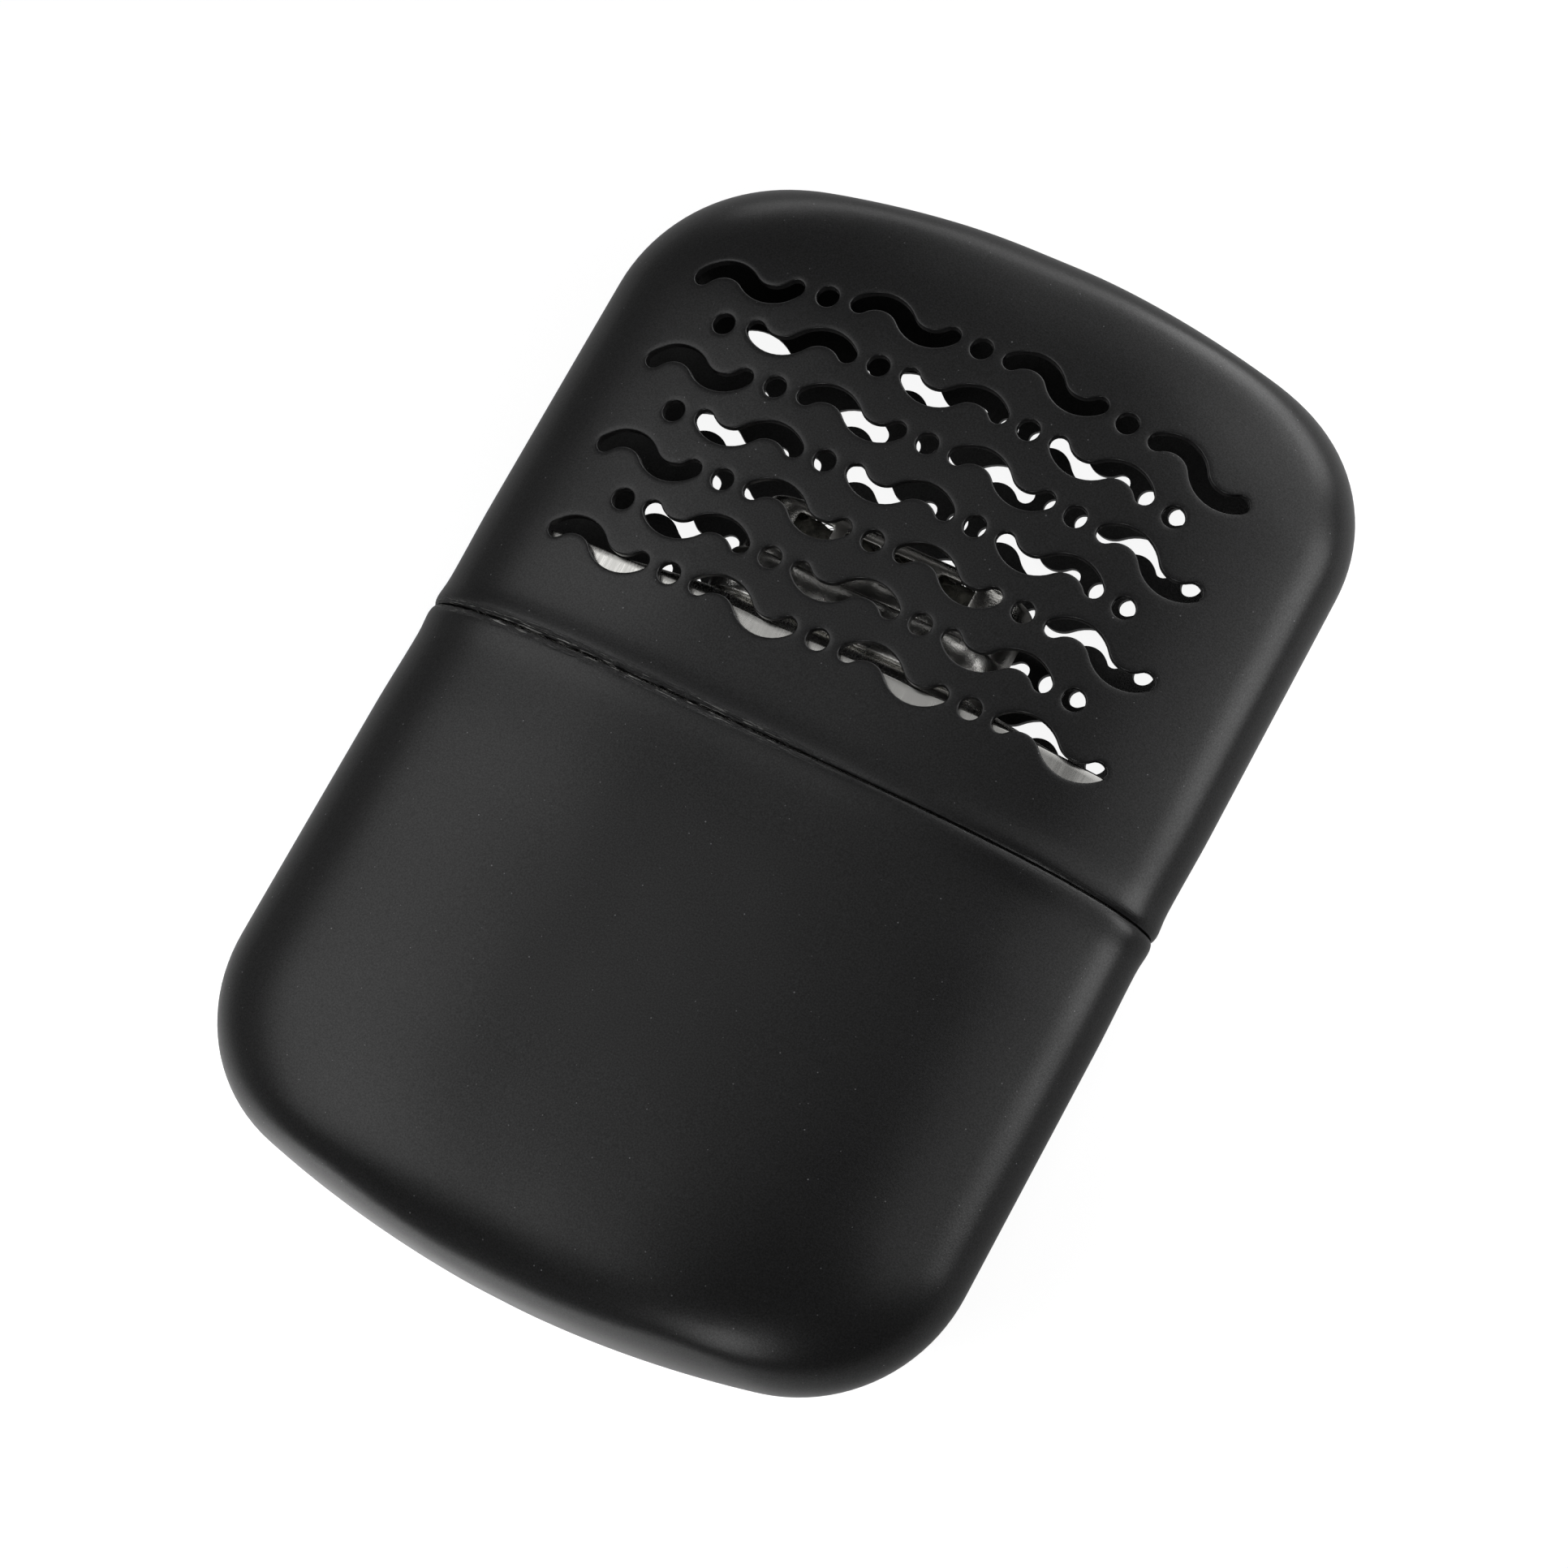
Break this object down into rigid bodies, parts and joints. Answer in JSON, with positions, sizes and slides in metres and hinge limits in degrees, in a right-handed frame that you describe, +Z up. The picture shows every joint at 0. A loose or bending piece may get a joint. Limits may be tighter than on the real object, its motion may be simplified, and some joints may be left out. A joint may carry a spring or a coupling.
{
  "type": "catalytic hand warmer",
  "caption": "Pocket catalytic hand warmer: crowned black case with a pierced pull-off cap over a fuel tank, filler neck and clip-on catalyst burner.",
  "frame": {"origin": "centre of the closed case's bounding box in X and Y, on the surface that its back rests on", "axes": "+X across the case, +Y along it towards the cap's closed end, +Z up through its thickness"},
  "size_m": [0.068, 0.0978, 0.0173],
  "materials": {
    "black_paint": "matt black powder coat on drawn sheet metal",
    "plated_sheet": "bright nickel plate",
    "burner_sheet": "bright stamped stainless sheet, slightly heat tinted",
    "steel_gauze": "pierced thin steel",
    "catalyst_fibre": "grey glass fibre mat carrying the catalyst",
    "felt": "white pressed felt",
    "cotton": "loose cotton"
  },
  "bodies": {
    "tank": {"tank_shell": "black_paint", "tank_collar": "plated_sheet", "tank_top": "plated_sheet", "filler_neck": "plated_sheet", "fuel_wadding": "cotton", "mouth_felt": "felt"},
    "burner": {"burner_skirt": "burner_sheet", "burner_gauze": "steel_gauze", "catalyst_mat": "catalyst_fibre", "burner_cage": "burner_sheet"},
    "cap": {"cap_shell": "black_paint"}
  },
  "joints": [
    {"name": "cap_slide", "type": "slide", "parent": "tank", "child": "cap", "axis": [0, 1, 0], "range_m": [0, 0.05]},
    {"name": "burner_slide", "type": "slide", "parent": "tank", "child": "burner", "axis": [0, 1, 0], "range_m": [0, 0.015]}
  ]
}
